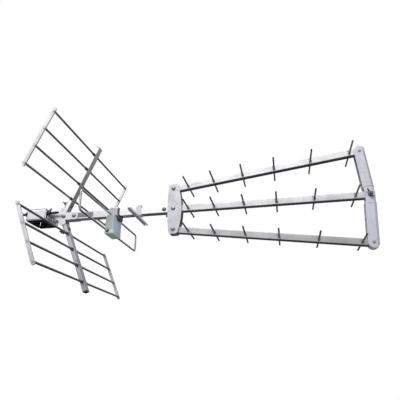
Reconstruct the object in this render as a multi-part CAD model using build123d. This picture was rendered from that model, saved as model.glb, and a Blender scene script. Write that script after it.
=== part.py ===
from build123d import *
import math
import os

# A three-boom UHF aerial for a roof mast, in millimetres, +Z up.
# The origin lies on the mast's axis, level with the main boom's axis.
# +X runs along the main boom to the front, where the short rods are.
# Distances "from apex" are measured forward from the point where the two
# reflector panels would meet.

# Mast clamp
mast_radius = 20.0
mast_to_apex = 62.0
clamp_sheet = 2.5
clamp_height = 34.0
clamp_top = 18.0
clamp_round = 7.0
clamp_rear_round = 6.0
clamp_lip_gap = 45.0
cheek_rear = 21.0
mast_slot_clearance = 1.0
jaw_sheet = 2.5
jaw_tip_gap = 2.0
jaw_web_clearance = 2.0
jaw_tooth_depth = 1.6
jaw_tooth_width = 3.2
jaw_teeth = 7
jaw_tooth_spread = 0.82
clamp_bolt_gap = 1.0
clamp_bolt_spare = 7.8
clamp_bolt_rear = 21.0
clamp_bolt_height = 6.5
jaw_closing = 8.0
jaw_opening = 14.0

# Fasteners
bolt_radius = 3.0
bolt_hole_clearance = 0.2
bolt_head_radius = 5.2
bolt_head_height = 3.4
nut_flats = 10.0
nut_height = 5.0
washer_radius = 6.0
washer_thickness = 1.2
wing_span = 25.0
wing_height = 12.0
wing_hub_radius = 5.0
wing_hub_height = 6.0
wing_thickness = 3.0
head_round = 0.6
bolt_spare = 1.5
wing_bolt_spare = 4.0
rivet_radius = 2.0
rivet_head_radius = 3.6
rivet_head_height = 1.4
small_rivet_radius = 1.6
small_rivet_head_radius = 2.8
small_rivet_head_height = 1.2

# Main boom
boom_width = 18.0
boom_wall = 1.2
boom_corner = 1.4
boom_rear = -20.0
boom_overhang = 9.0
slip_bolt_back = 23.0
slip_bolt_spare = 3.0
boom_plug_plate = 2.0
boom_plug_length = 10.0
boom_plug_round = 1.0

# Hub at the apex
hub_sheet = 2.0
hub_strip_height = 19.0
hub_strip_round = 3.0
hub_front = 42.0
hub_bolt_rear = 4.0
hub_bolt_front = 32.0
hub_flange_height = 24.0
hub_flange_inset = 1.0
hub_flange_round = 5.0
lobe_rear = 13.0
lobe_front = 4.6
lobe_top = 22.0
lobe_bottom = -8.0
lobe_corner = 5.0
flange_rivet_y = 15.0
flange_rivet_z = 8.6

# Corner reflector
panel_angle = 67.2
arm_width = 18.0
arm_depth = 10.0
arm_wall = 1.2
arm_corner = 1.4
arm_overhang = 23.0
arm_cap_plate = 2.0
arm_cap_plug = 9.0
rod_radius = 2.5
rod_first = 50.0
rod_spacing = 44.0
rod_count = 4
rod_collar_radius = 3.7
rod_collar_length = 4.0
rod_bush_radius = 3.7
rod_bush_length = 8.0
rod_bush_round = 1.0
panel_width = 445.0
end_bar_height = 8.0
end_bar_thickness = 3.0
end_bar_overhang = 8.0
peen_radius = 3.4
peen_height = 1.4
seat_sheet = 2.0
seat_top = 45.0
seat_tab_length = 7.0
seat_tab_start = 11.0
seat_tab_spare = 0.5
seat_round = 5.0
seat_bolt_station = 35.0

# Folded dipole and its box
dipole_station = 131.0
dipole_length = 354.0
dipole_radius = 2.5
dipole_top = -4.0
dipole_above_floor = 6.6
dipole_bend = 7.5
dipole_feed_gap = 18.0
box_length = 21.0
box_width = 50.0
box_height = 46.0
box_wall = 2.0
box_bevel = 7.0
box_round = 3.0
box_lid_thickness = 2.2
box_lid_lip = 3.0
box_lid_lip_wall = 1.2
box_to_dipole_rear = 7.0
saddle_sheet = 1.6
saddle_inset = 2.0
saddle_length = 22.0
saddle_foot = 9.0
saddle_screw_length = 7.0
wedge_length = 6.0
wedge_half_width = 12.5
wedge_top = 12.0
wedge_bottom = -20.0
wedge_bevel = 4.0
wedge_round = 0.8
socket_radius = 4.8
socket_length = 11.0
socket_wall = 1.2
socket_pin_radius = 0.8
socket_flange = 7.0
socket_flange_length = 2.0
socket_drop = 15.4
terminal_length = 7.0
terminal_rear = 3.2
terminal_front = 4.8
terminal_below = 3.3
terminal_above = 5.0

# First director, clipped under the main boom
first_director_station = 198.0
first_director_length = 130.0
first_director_width = 8.0
first_director_height = 5.0
first_director_sheet = 1.0
clip_sheet = 1.2
clip_forward = 3.0
clip_length = 13.0
clip_head_length = 9.0
clip_head_width = 15.0
clip_head_height = 7.0
clip_head_wall = 1.6
clip_head_round = 2.0

# Rear bracket, where the three director booms start
bracket_station = 274.8
bracket_sheet = 2.0
bracket_depth = 24.7
bracket_bulge = 10.0
bracket_rear_bulge = 3.6
bracket_height = 127.0
bracket_corner = 7.0
bracket_bolt_forward = 14.2
spacer_radius = 6.5

# Director booms
director_boom_width = 15.0
director_boom_wall = 1.0
director_boom_corner = 1.2
middle_boom_back = 18.0
middle_boom_overhang = 8.0
outer_boom_offset = 52.2
outer_boom_angle = 7.44
outer_boom_rear = 7.5
outer_boom_overhang = 7.0
director_radius = 2.0
director_station_1 = 325.0
director_station_2 = 388.0
director_station_3 = 459.0
director_station_4 = 534.5
director_station_5 = 620.0
director_station_6 = 710.0
director_length_rear = 126.0
director_length_front = 130.0
director_collar_radius = 3.2
director_collar_length = 2.6

# Front bracket, two arms that meet on the middle boom
front_bolt_station = 741.0
front_rivet_back = 8.5
front_arm_width = 25.0
front_arm_sheet = 1.5
front_arm_bend = 6.5
front_arm_bead = 1.0
front_arm_bead_height = 21.0
front_arm_web_start = 18.0
front_tongue_radius = 11.0

# Clearances
slide_clearance = 0.15
hole_clearance = 0.1
seat_clearance = 0.3

# Worked out from the sizes above
apex = mast_to_apex
panel_rad = math.radians(panel_angle)
clamp_bottom = clamp_top - clamp_height
jaw_tip = jaw_closing / 2 + jaw_tip_gap
clamp_bolt_front = washer_thickness + wing_hub_height + jaw_opening + clamp_bolt_spare
clamp_bolt_y = mast_radius + clamp_bolt_gap + bolt_radius
clamp_inner = clamp_bolt_y + washer_radius + seat_clearance
clamp_outer = clamp_inner + clamp_sheet
jaw_web_inner = mast_radius + jaw_web_clearance
jaw_web_outer = jaw_web_inner + jaw_sheet
clamp_wall_front = jaw_web_outer + clamp_sheet
clamp_middle = (clamp_top + clamp_bottom) / 2
jaw_top = clamp_top - clamp_sheet - seat_clearance
jaw_bottom = clamp_bottom + clamp_sheet + seat_clearance
jaw_height = jaw_top - jaw_bottom
clamp_bolt_z = clamp_bolt_height
boom_half = boom_width / 2
hub_inner = boom_half + slide_clearance
hub_outer = hub_inner + hub_sheet
arm_front = -(rod_radius + arm_wall + hole_clearance)
arm_back = arm_front + arm_depth
arm_foot = (boom_half + seat_clearance - arm_front * math.cos(panel_rad)) / math.sin(panel_rad)
seat_foot = (boom_half + seat_clearance - arm_back * math.cos(panel_rad)) / math.sin(panel_rad)
bracket_inner = boom_half + slide_clearance
bracket_outer = bracket_inner + bracket_sheet
director_half = director_boom_width / 2
outer_boom_rad = math.radians(outer_boom_angle)
hole_radius = bolt_radius + bolt_hole_clearance
hub_bolt_stations = [hub_bolt_rear, hub_bolt_front]
rod_stations = [rod_first + rod_spacing * index for index in range(rod_count)]
arm_end = rod_stations[-1] + arm_overhang
bracket_bolt_station = bracket_station + bracket_bolt_forward
slip_bolt_station = bracket_bolt_station - slip_bolt_back
boom_front = bracket_bolt_station + boom_overhang
middle_boom_rear = slip_bolt_station - middle_boom_back
middle_boom_front = front_bolt_station + middle_boom_overhang
front_rivet_station = front_bolt_station - front_rivet_back
clip_station = first_director_station + clip_forward
director_stations = [
    director_station_1,
    director_station_2,
    director_station_3,
    director_station_4,
    director_station_5,
    director_station_6,
]
box_top = -boom_half - saddle_sheet
dipole_bottom = box_top - box_height + dipole_above_floor
socket_z = box_top - socket_drop
saddle_rear = apex + dipole_station - box_to_dipole_rear + saddle_inset
saddle_screw_x = saddle_rear + saddle_length / 2
saddle_screw_y = boom_half + slide_clearance + saddle_sheet + saddle_foot / 2

panel = Plane(
    origin=(apex, 0, 0),
    x_dir=(math.cos(panel_rad), 0, math.sin(panel_rad)),
    z_dir=(-math.sin(panel_rad), 0, math.cos(panel_rad)),
).location


def block(x0, x1, y0, y1, z0, z1):
    solid = Box(x1 - x0, y1 - y0, z1 - z0)
    return Pos((x0 + x1) / 2, (y0 + y1) / 2, (z0 + z1) / 2) * solid


def along_x(radius, x0, x1, y=0, z=0):
    return Pos((x0 + x1) / 2, y, z) * Rot(0, 90, 0) * Cylinder(radius, x1 - x0)


def along_y(radius, y0, y1, x=0, z=0):
    return Pos(x, (y0 + y1) / 2, z) * Rot(90, 0, 0) * Cylinder(radius, y1 - y0)


def along_z(radius, z0, z1, x=0, y=0):
    return Pos(x, y, (z0 + z1) / 2) * Cylinder(radius, z1 - z0)


def slab(sketch, y0, y1):
    # A sketch whose x and y are the aerial's X and Z, made solid from y0 to y1.
    return extrude(Plane.XZ.offset(-y0) * sketch, amount=-(y1 - y0))


def square_tube(x0, x1, width, depth, wall, corner):
    outer = extrude(Plane.YZ.offset(x0) * RectangleRounded(width, depth, corner), amount=x1 - x0)
    inner = extrude(
        Plane.YZ.offset(x0) * Rectangle(width - 2 * wall, depth - 2 * wall), amount=x1 - x0
    )
    return outer - inner


def mirrored(shape):
    return mirror(shape, about=Plane.XY)


def wing_nut():
    # Stands on z = 0 with its thread up Z and its wings along Y.
    hub = Pos(0, 0, wing_hub_height / 2) * Cone(wing_hub_radius, wing_hub_radius - 1, wing_hub_height)
    half = wing_span / 2
    ear = Polyline(
        (0, 0.8),
        (wing_hub_radius, 1.2),
        (half - 1.5, wing_height - 4.5),
        (half, wing_height - 1.0),
        (half - 3.5, wing_height),
        (wing_hub_radius, wing_hub_height - 1.0),
        (0, wing_hub_height - 1.0),
        close=True,
    )
    wing = extrude(Plane.YZ * make_face(ear), amount=wing_thickness / 2, both=True)
    nut = hub + wing + mirror(wing, about=Plane.XZ)
    return nut - Pos(0, 0, wing_height / 2) * Cylinder(bolt_radius + hole_clearance, wing_height * 2)


def hex_nut():
    # Stands on z = 0.
    body = extrude(RegularPolygon(nut_flats / 2, 6, major_radius=False), amount=nut_height)
    return body - Pos(0, 0, nut_height / 2) * Cylinder(bolt_radius + hole_clearance, nut_height * 2)


def washer():
    body = Pos(0, 0, washer_thickness / 2) * Cylinder(washer_radius, washer_thickness)
    return body - Cylinder(hole_radius, washer_thickness * 3)


def dome_bolt(shank):
    # The head stands on z = 0 and the shank runs down Z.
    head = Cylinder(bolt_head_radius, bolt_head_height, align=(Align.CENTER, Align.CENTER, Align.MIN))
    head = fillet(head.edges().group_by(Axis.Z)[-1], bolt_head_height * head_round)
    return head + Pos(0, 0, -shank / 2) * Cylinder(bolt_radius, shank)


def rivet(grip):
    # Both heads are domed, the shank runs down Z from z = 0.
    head = Cylinder(rivet_head_radius, rivet_head_height, align=(Align.CENTER, Align.CENTER, Align.MIN))
    head = fillet(head.edges().group_by(Axis.Z)[-1], rivet_head_height * head_round)
    shank = Pos(0, 0, -grip / 2) * Cylinder(rivet_radius, grip)
    return head + shank + Pos(0, 0, -grip) * Rot(180, 0, 0) * head


def small_rivet(grip):
    # One domed head on z = 0, also used as a small screw.
    head = Cylinder(
        small_rivet_head_radius, small_rivet_head_height, align=(Align.CENTER, Align.CENTER, Align.MIN)
    )
    head = fillet(head.edges().group_by(Axis.Z)[-1], small_rivet_head_height * head_round)
    return head + Pos(0, 0, -grip / 2) * Cylinder(small_rivet_radius, grip)


def facing_near(x, y, z):
    # Turns a fastener that stands on z = 0 so that it stands out towards -Y.
    return Pos(x, y, z) * Rot(90, 0, 0)


def facing_far(x, y, z):
    return Pos(x, y, z) * Rot(-90, 0, 0)


# Mast clamp


def rounded_bar(x0, x1, width, height, corner, z):
    profile = Pos(0, z) * RectangleRounded(width, height, corner)
    return extrude(Plane.YZ.offset(x0) * profile, amount=x1 - x0)


def clamp_bracket():
    # A box-shaped pressing, open at the back, with a slot for the mast in its
    # top and two lips below on which the jaws lie.
    outer = rounded_bar(
        -cheek_rear, clamp_wall_front, 2 * clamp_outer, clamp_height, clamp_round, clamp_middle
    )
    outer = fillet(outer.faces().sort_by(Axis.X)[-1].edges(), clamp_sheet * 0.8)
    hollow = rounded_bar(
        -cheek_rear,
        jaw_web_outer,
        2 * clamp_inner,
        clamp_height - 2 * clamp_sheet,
        clamp_round - clamp_sheet,
        clamp_middle,
    )
    body = outer - hollow
    body -= block(
        -cheek_rear, jaw_web_outer, -clamp_lip_gap / 2, clamp_lip_gap / 2, clamp_bottom, clamp_middle
    )
    slot = mast_radius + mast_slot_clearance
    body -= along_z(slot, 0, clamp_top)
    body -= block(-cheek_rear, 0, -slot, slot, 0, clamp_top)
    for side in (-1, 1):
        body -= along_x(hole_radius, jaw_web_inner, clamp_wall_front, side * clamp_bolt_y, clamp_bolt_z)
        for height in (-flange_rivet_z, flange_rivet_z):
            body -= along_x(
                small_rivet_radius + hole_clearance,
                jaw_web_inner,
                clamp_wall_front,
                side * flange_rivet_y,
                height,
            )
    side = Pos((clamp_wall_front - cheek_rear) / 2, clamp_middle) * Rectangle(
        clamp_wall_front + cheek_rear, clamp_height
    )
    side = fillet(side.vertices().group_by(Axis.X)[0], clamp_rear_round)
    return body & slab(side, -clamp_outer, clamp_outer)


def jaw():
    # The front jaw: a channel whose two toothed edges grip the mast.
    half = clamp_inner - seat_clearance
    corner = clamp_round - clamp_sheet - seat_clearance
    body = rounded_bar(jaw_tip, jaw_web_outer, 2 * half, jaw_height, corner, clamp_middle)
    body -= block(jaw_tip, jaw_web_inner, -half, half, jaw_bottom + jaw_sheet, jaw_top - jaw_sheet)
    body -= along_z(mast_radius, jaw_bottom, jaw_top)
    spread = 2 * math.degrees(math.acos(jaw_tip / mast_radius)) * jaw_tooth_spread
    for index in range(jaw_teeth):
        turn = spread * (index / (jaw_teeth - 1) - 0.5)
        notch = Rot(0, 0, 45) * Box(jaw_tooth_width, jaw_tooth_width, jaw_height * 3)
        notch = Pos(mast_radius + jaw_tooth_depth - jaw_tooth_width * math.sqrt(0.5), 0, 0) * notch
        body -= Rot(0, 0, turn) * notch
    for side in (-1, 1):
        body -= along_x(hole_radius, 0, jaw_web_outer, side * clamp_bolt_y, clamp_bolt_z)
    return body


def clamp_bolts():
    bolts = []
    for side in (-1, 1):
        bolts.append(
            along_x(
                bolt_radius,
                -jaw_web_outer - clamp_bolt_rear,
                clamp_wall_front + hub_sheet + clamp_bolt_front,
                side * clamp_bolt_y,
                clamp_bolt_z,
            )
        )
    return bolts


def clamp_nuts():
    nuts = []
    for side in (-1, 1):
        place = Pos(-jaw_web_outer, side * clamp_bolt_y, clamp_bolt_z) * Rot(0, -90, 0)
        nuts.append(place * washer())
        nuts.append(Pos(-washer_thickness, 0, 0) * place * hex_nut())
    return nuts


def clamp_wing_nuts():
    nuts = []
    for side in (-1, 1):
        place = Pos(clamp_wall_front + hub_sheet, side * clamp_bolt_y, clamp_bolt_z) * Rot(0, 90, 0)
        nuts.append(place * washer())
        nuts.append(Pos(washer_thickness, 0, 0) * place * Rot(0, 0, 90) * wing_nut())
    return nuts


# Hub


def hub_plate():
    # The near plate: a strip along the boom, a lobe beside each reflector arm
    # and a flange against the clamp's front wall.
    strip = Pos((clamp_wall_front + apex + hub_front) / 2, 0) * RectangleRounded(
        apex + hub_front - clamp_wall_front, hub_strip_height, hub_strip_round
    )
    lobe_shape = Pos((lobe_top + lobe_bottom) / 2, (lobe_rear - lobe_front) / 2) * RectangleRounded(
        lobe_top - lobe_bottom, lobe_rear + lobe_front, lobe_corner
    )
    upper = Pos(apex, 0) * Rot(0, 0, panel_angle) * lobe_shape
    outline = strip + upper + mirror(upper, about=Plane.XZ)
    plate = slab(outline, -hub_outer, -hub_inner)
    flange = block(
        clamp_wall_front,
        clamp_wall_front + hub_sheet,
        -clamp_outer + hub_flange_inset,
        -hub_inner,
        -hub_flange_height / 2,
        hub_flange_height / 2,
    )
    flange = fillet(flange.edges().filter_by(Axis.X).group_by(Axis.Y)[0], hub_flange_round)
    plate += flange
    for station in hub_bolt_stations:
        plate -= along_y(hole_radius, -hub_outer, -hub_inner, apex + station, 0)
    plate -= along_x(
        hole_radius, clamp_wall_front, clamp_wall_front + hub_sheet, -clamp_bolt_y, clamp_bolt_z
    )
    for height in (-flange_rivet_z, flange_rivet_z):
        plate -= along_x(
            small_rivet_radius + hole_clearance,
            clamp_wall_front,
            clamp_wall_front + hub_sheet,
            -flange_rivet_y,
            height,
        )
    slot = panel * block(
        seat_tab_start - hole_clearance,
        seat_tab_start + seat_tab_length + hole_clearance,
        -hub_outer,
        -hub_inner,
        arm_back,
        arm_back + seat_sheet + hole_clearance,
    )
    return plate - slot - mirrored(slot)


def hub_bolts():
    bolts = []
    for station in hub_bolt_stations:
        shank = 2 * hub_outer + nut_height + bolt_spare
        bolts.append(facing_near(apex + station, -hub_outer, 0) * dome_bolt(shank))
        bolts.append(facing_far(apex + station, hub_outer, 0) * hex_nut())
    return bolts


def flange_rivets():
    # Flush with the clamp's wall behind, where the front jaw lies against it.
    rivets = []
    for y in (-flange_rivet_y, flange_rivet_y):
        for z in (-flange_rivet_z, flange_rivet_z):
            place = Pos(clamp_wall_front + hub_sheet, y, z) * Rot(0, 90, 0)
            rivets.append(place * small_rivet(hub_sheet + clamp_sheet))
    return rivets


# Reflector


def arm_seat():
    # The upper tongue behind the arm's foot, held by a tab in each hub plate.
    half = boom_half
    body = block(seat_foot, seat_top, -half, half, arm_back, arm_back + seat_sheet)
    body = fillet(body.edges().filter_by(Axis.Z).group_by(Axis.X)[-1], seat_round)
    tab_reach = hub_outer + seat_tab_spare
    body += block(
        seat_tab_start,
        seat_tab_start + seat_tab_length,
        -tab_reach,
        tab_reach,
        arm_back,
        arm_back + seat_sheet,
    )
    body -= along_z(hole_radius, arm_front, arm_back + seat_sheet, seat_bolt_station)
    return panel * body


def reflector_arm():
    body = square_tube(arm_foot, arm_end, arm_width, arm_depth, arm_wall, arm_corner)
    body = Pos(0, 0, (arm_front + arm_back) / 2) * body
    for station in rod_stations:
        body -= along_y(rod_radius + hole_clearance, -arm_width, arm_width, station, 0)
    body -= along_z(hole_radius, arm_front, arm_back, seat_bolt_station)
    return panel * body


def arm_cap():
    middle = (arm_front + arm_back) / 2
    plate = Pos(arm_end + arm_cap_plate / 2, 0, middle) * Box(arm_cap_plate, arm_width, arm_depth)
    plate = fillet(plate.edges().group_by(Axis.X)[-1], arm_cap_plate * head_round)
    inset = arm_wall + slide_clearance
    plug = Pos(arm_end - arm_cap_plug / 2, 0, middle) * Box(
        arm_cap_plug, arm_width - 2 * inset, arm_depth - 2 * inset
    )
    return panel * (plate + plug)


def reflector_rods():
    bar_inner = panel_width / 2 - end_bar_thickness
    rods = []
    for station in rod_stations:
        body = along_y(rod_radius, -panel_width / 2, panel_width / 2, station, 0)
        start = arm_width / 2 + slide_clearance
        body += along_y(rod_collar_radius, start, start + rod_collar_length, station, 0)
        for side in (-1, 1):
            outer = panel_width / 2
            low = min(side * outer, side * (outer + peen_height))
            body += along_y(peen_radius, low, low + peen_height, station, 0)
            stop = min(side * bar_inner, side * (bar_inner - peen_height))
            body += along_y(peen_radius, stop, stop + peen_height, station, 0)
        rods.append(panel * body)
    return rods


def rod_bushes():
    # One on each rod, against the near side of the arm.
    bushes = []
    near = -arm_width / 2
    for station in rod_stations:
        bush = along_y(rod_bush_radius, near - rod_bush_length, near, station, 0)
        bush = fillet(bush.edges().group_by(Axis.Y)[0], rod_bush_round)
        bush -= along_y(rod_radius + hole_clearance, near - rod_bush_length, near, station, 0)
        bushes.append(panel * bush)
    return bushes


def end_bar(side):
    length = rod_stations[-1] - rod_stations[0] + 2 * end_bar_overhang
    middle = (rod_stations[-1] + rod_stations[0]) / 2
    outer = panel_width / 2
    low = min(side * outer, side * (outer - end_bar_thickness))
    body = slab(
        Pos(middle, 0) * RectangleRounded(length, end_bar_height, end_bar_height / 2 - 0.5),
        low,
        low + end_bar_thickness,
    )
    for station in rod_stations:
        body -= along_y(rod_radius + hole_clearance, low, low + end_bar_thickness, station, 0)
    return panel * body


def seat_bolts():
    # The head lies on the arm's front face and the wing nut is behind the seat.
    grip = arm_depth + seat_sheet
    place = Pos(seat_bolt_station, 0, arm_front) * Rot(180, 0, 0)
    shank = grip + washer_thickness + wing_hub_height + wing_bolt_spare
    upper = panel * place * dome_bolt(shank)
    return [upper, mirrored(upper)]


def seat_wing_nuts():
    base = arm_back + seat_sheet
    ring = panel * Pos(seat_bolt_station, 0, base) * washer()
    nut = panel * Pos(seat_bolt_station, 0, base + washer_thickness) * wing_nut()
    return [ring, nut, mirrored(ring), mirrored(nut)]


# Main boom and dipole


def main_boom():
    body = square_tube(apex + boom_rear, apex + boom_front, boom_width, boom_width, boom_wall, boom_corner)
    stations = hub_bolt_stations + [slip_bolt_station, bracket_bolt_station]
    for station in stations:
        body -= along_y(hole_radius, -boom_width, boom_width, apex + station, 0)
    body -= along_y(
        dipole_radius + hole_clearance, -boom_width, boom_width, apex + dipole_station, dipole_top
    )
    body -= along_z(
        small_rivet_radius + hole_clearance, -boom_width, 0, apex + first_director_station
    )
    return body


def boom_plug():
    inset = boom_wall + slide_clearance
    start = apex + boom_rear
    half = boom_width / 2
    plate = block(start - boom_plug_plate, start, -half, half, -half, half)
    plate = fillet(plate.edges().group_by(Axis.X)[0], boom_plug_round)
    half -= inset
    plug = block(start, start + boom_plug_length, -half, half, -half, half)
    return plate + plug


def folded_dipole():
    x = apex + dipole_station
    half = dipole_length / 2 - dipole_radius
    top = dipole_top
    bottom = dipole_bottom
    feed = dipole_feed_gap / 2
    path = FilletPolyline(
        (x, -feed, bottom),
        (x, -half, bottom),
        (x, -half, top),
        (x, half, top),
        (x, half, bottom),
        (x, feed, bottom),
        radius=dipole_bend,
    )
    return sweep(Plane((x, -feed, bottom), z_dir=(0, -1, 0)) * Circle(dipole_radius), path=path)


def box_profile(inset):
    rear = apex + dipole_station - box_to_dipole_rear + inset
    front = rear + box_length - 2 * inset
    top = box_top - inset
    bottom = box_top - box_height + inset
    bevel = box_bevel - inset * 0.6
    return make_face(
        Polyline(
            (rear, bottom + bevel * 0.5),
            (rear, top - bevel),
            (rear + bevel * 0.6, top),
            (front, top),
            (front, bottom),
            (rear + bevel * 0.5, bottom),
            close=True,
        )
    )


def dipole_box():
    half = box_width / 2
    x = apex + dipole_station
    body = slab(box_profile(0), -half, half)
    rear_edges = body.edges().filter_by(Axis.Z).group_by(Axis.X)[0]
    body = fillet(rear_edges, box_round)
    hollow = slab(box_profile(box_wall), -half + box_wall, half - box_wall)
    front = x - box_to_dipole_rear + box_length
    body -= hollow
    body -= block(front - box_lid_thickness, front, -half, half, -2 * box_height, 0)
    body -= block(
        front - box_lid_thickness - box_wall,
        front,
        -half + box_wall,
        half - box_wall,
        box_top - box_height + box_wall,
        box_top - box_wall,
    )
    body -= along_y(dipole_radius + hole_clearance, -half, half, x, dipole_bottom)
    rear = x - box_to_dipole_rear
    body -= along_x(socket_radius + hole_clearance, rear, rear + box_wall, 0, socket_z)
    for side in (-1, 1):
        body -= along_z(
            small_rivet_radius + hole_clearance,
            box_top - box_wall,
            box_top,
            saddle_screw_x,
            side * saddle_screw_y,
        )
    return body


def dipole_lid():
    half = box_width / 2
    front = apex + dipole_station - box_to_dipole_rear + box_length
    top = box_top
    bottom = top - box_height
    plate = block(front - box_lid_thickness, front, -half, half, bottom, top)
    plate = fillet(plate.edges().group_by(Axis.X)[-1], box_lid_thickness * 0.45)
    gap = box_wall + slide_clearance
    lip = block(
        front - box_lid_thickness - box_lid_lip,
        front - box_lid_thickness,
        -half + gap,
        half - gap,
        bottom + gap,
        top - gap,
    )
    lip -= block(
        front - box_lid_thickness - box_lid_lip,
        front - box_lid_thickness,
        -half + gap + box_lid_lip_wall,
        half - gap - box_lid_lip_wall,
        bottom + gap + box_lid_lip_wall,
        top - gap - box_lid_lip_wall,
    )
    return plate + lip


def dipole_saddle():
    # Straddles the boom from above, its two feet lie on the box's top.
    x0 = saddle_rear
    x1 = x0 + saddle_length
    inner = boom_half + slide_clearance
    outer = inner + saddle_sheet
    low = -boom_half - saddle_sheet
    body = block(x0, x1, -outer, outer, low, outer)
    body -= block(x0, x1, -inner, inner, low, inner)
    for side in (-1, 1):
        near = min(side * outer, side * (outer + saddle_foot))
        body += block(x0, x1, near, near + saddle_foot, low, low + saddle_sheet)
    body -= along_y(dipole_radius + hole_clearance, -outer, outer, apex + dipole_station, dipole_top)
    for side in (-1, 1):
        body -= along_z(
            small_rivet_radius + hole_clearance,
            low,
            low + saddle_sheet,
            saddle_screw_x,
            side * saddle_screw_y,
        )
    return body


def saddle_wedge():
    # Slid along the boom against the saddle's front edge, it hangs down
    # before the lid and keeps the box from turning.
    x0 = saddle_rear + saddle_length
    x1 = x0 + wedge_length
    gap = boom_half + slide_clearance
    outline = Pos(0, (wedge_top + wedge_bottom) / 2) * Rectangle(
        2 * wedge_half_width, wedge_top - wedge_bottom
    )
    outline = chamfer(outline.vertices(), wedge_bevel)
    body = extrude(Plane.YZ.offset(x0) * outline, amount=wedge_length)
    body = fillet(body.faces().sort_by(Axis.X)[-1].edges(), wedge_round)
    return body - block(x0, x1, -gap, gap, -gap, gap)


def saddle_screws():
    screws = []
    for side in (-1, 1):
        place = Pos(saddle_screw_x, side * saddle_screw_y, box_top + saddle_sheet)
        screws.append(place * small_rivet(saddle_screw_length))
    return screws


def coax_socket():
    x = apex + dipole_station - box_to_dipole_rear
    z = socket_z
    barrel = along_x(socket_radius, x - socket_length, x + box_wall + 2, 0, z)
    flange = along_x(socket_flange, x - socket_flange_length, x, 0, z)
    bore = along_x(socket_radius - socket_wall, x - socket_length, x - socket_flange_length, 0, z)
    pin = along_x(socket_pin_radius, x - socket_length + 2, x, 0, z)
    return barrel + flange - bore + pin


def feed_terminals():
    # Two clamps on the open ends of the dipole, on one small board.
    x = apex + dipole_station
    z = dipole_bottom
    feed = dipole_feed_gap / 2
    blocks = []
    for side in (-1, 1):
        near = min(side * feed, side * (feed + terminal_length))
        far = near + terminal_length
        body = block(x - terminal_rear, x + terminal_front, near, far, z - terminal_below, z + terminal_above)
        body -= along_y(dipole_radius + hole_clearance, near, far, x, z)
        blocks.append(body)
    return blocks


# First director


def first_director():
    half = first_director_length / 2
    x = apex + first_director_station
    z = -boom_half - clip_sheet
    width = first_director_width / 2
    body = block(x - width, x + width, -half, half, z - first_director_height, z)
    sheet = first_director_sheet
    body -= block(
        x - width + sheet, x + width - sheet, -half, half, z - first_director_height, z - sheet
    )
    body -= along_z(small_rivet_radius + hole_clearance, z - sheet, z, x)
    return body


def first_director_rivet():
    # From inside the channel up through the clip and the boom's lower wall.
    x = apex + first_director_station
    low = -boom_half - clip_sheet - first_director_sheet
    grip = first_director_sheet + clip_sheet + boom_wall
    upper = Pos(x, 0, low + grip) * small_rivet(grip)
    lower = Pos(x, 0, low) * Rot(180, 0, 0) * small_rivet(grip)
    return [upper + lower]


def first_director_clip():
    # A moulded clip round the boom, with a hollow grip on top of it.
    x = apex + clip_station
    inner = boom_half + slide_clearance
    outer = inner + clip_sheet
    half = clip_length / 2
    low = -boom_half - clip_sheet
    body = block(x - half, x + half, -outer, outer, low, outer)
    body -= block(x - half, x + half, -inner, inner, -boom_half, inner)
    body -= along_z(small_rivet_radius + hole_clearance, low, -boom_half, apex + first_director_station)
    wide = clip_head_width / 2
    deep = clip_head_length / 2
    head = block(x - deep, x + deep, -wide, wide, outer, outer + clip_head_height)
    head = fillet(head.edges().filter_by(Axis.X).group_by(Axis.Z)[-1], clip_head_round)
    wall = clip_head_wall
    head -= block(x - deep, x + deep, -wide + wall, wide - wall, outer, outer + clip_head_height - wall)
    return body + head


# Rear bracket and director booms


def rear_bracket():
    rear = apex + bracket_station
    half = bracket_height / 2
    front = rear + bracket_depth
    shoulder = rear + bracket_rear_bulge
    outline = make_face(
        ThreePointArc((shoulder, -half), (rear, 0), (shoulder, half))
        + Line((shoulder, half), (front, half))
        + ThreePointArc((front, half), (front + bracket_bulge, 0), (front, -half))
        + Line((front, -half), (shoulder, -half))
    )
    outline = fillet(outline.vertices(), bracket_corner)
    body = slab(outline, -bracket_outer, bracket_outer)
    web = shoulder + bracket_sheet
    far = front + 2 * bracket_bulge
    hollow = make_face(
        ThreePointArc((web, -half), (rear + bracket_sheet, 0), (web, half))
        + Polyline((web, half), (far, half), (far, -half), (web, -half))
    )
    body -= slab(hollow, -bracket_inner, bracket_inner)
    gap = bracket_inner
    body -= block(rear - 1, rear + bracket_sheet + 1, -gap, gap, -gap, gap)
    for offset in (-outer_boom_offset, 0, outer_boom_offset):
        body -= along_y(hole_radius, -bracket_outer, bracket_outer, apex + bracket_bolt_station, offset)
    return body


def bracket_bolts():
    parts = []
    shank = 2 * bracket_outer + nut_height + bolt_spare
    for offset in (-outer_boom_offset, 0, outer_boom_offset):
        x = apex + bracket_bolt_station
        parts.append(facing_near(x, -bracket_outer, offset) * dome_bolt(shank))
        parts.append(facing_far(x, bracket_outer, offset) * hex_nut())
    shank = boom_width + wing_hub_height + slip_bolt_spare
    parts.append(facing_near(apex + slip_bolt_station, -boom_half, 0) * dome_bolt(shank))
    return parts


def slip_wing_nut():
    return [facing_far(apex + slip_bolt_station, boom_half, 0) * wing_nut()]


def bracket_spacers():
    rings = []
    thickness = bracket_inner - director_half - hole_clearance
    for offset in (-outer_boom_offset, outer_boom_offset):
        for side in (-1, 1):
            start = side * (director_half + hole_clearance / 2)
            low = min(start, start + side * thickness)
            ring = along_y(spacer_radius, low, low + thickness, apex + bracket_bolt_station, offset)
            ring -= along_y(hole_radius, low, low + thickness, apex + bracket_bolt_station, offset)
            rings.append(ring)
    return rings


def director_tube(x0, x1):
    width = director_boom_width
    return square_tube(x0, x1, width, width, director_boom_wall, director_boom_corner)


def boom_holes(body, rear_x, cosine):
    for station in director_stations:
        body -= along_y(
            director_radius + hole_clearance,
            -director_boom_width,
            director_boom_width,
            (apex + station - rear_x) / cosine,
            0,
        )
    return body


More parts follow.
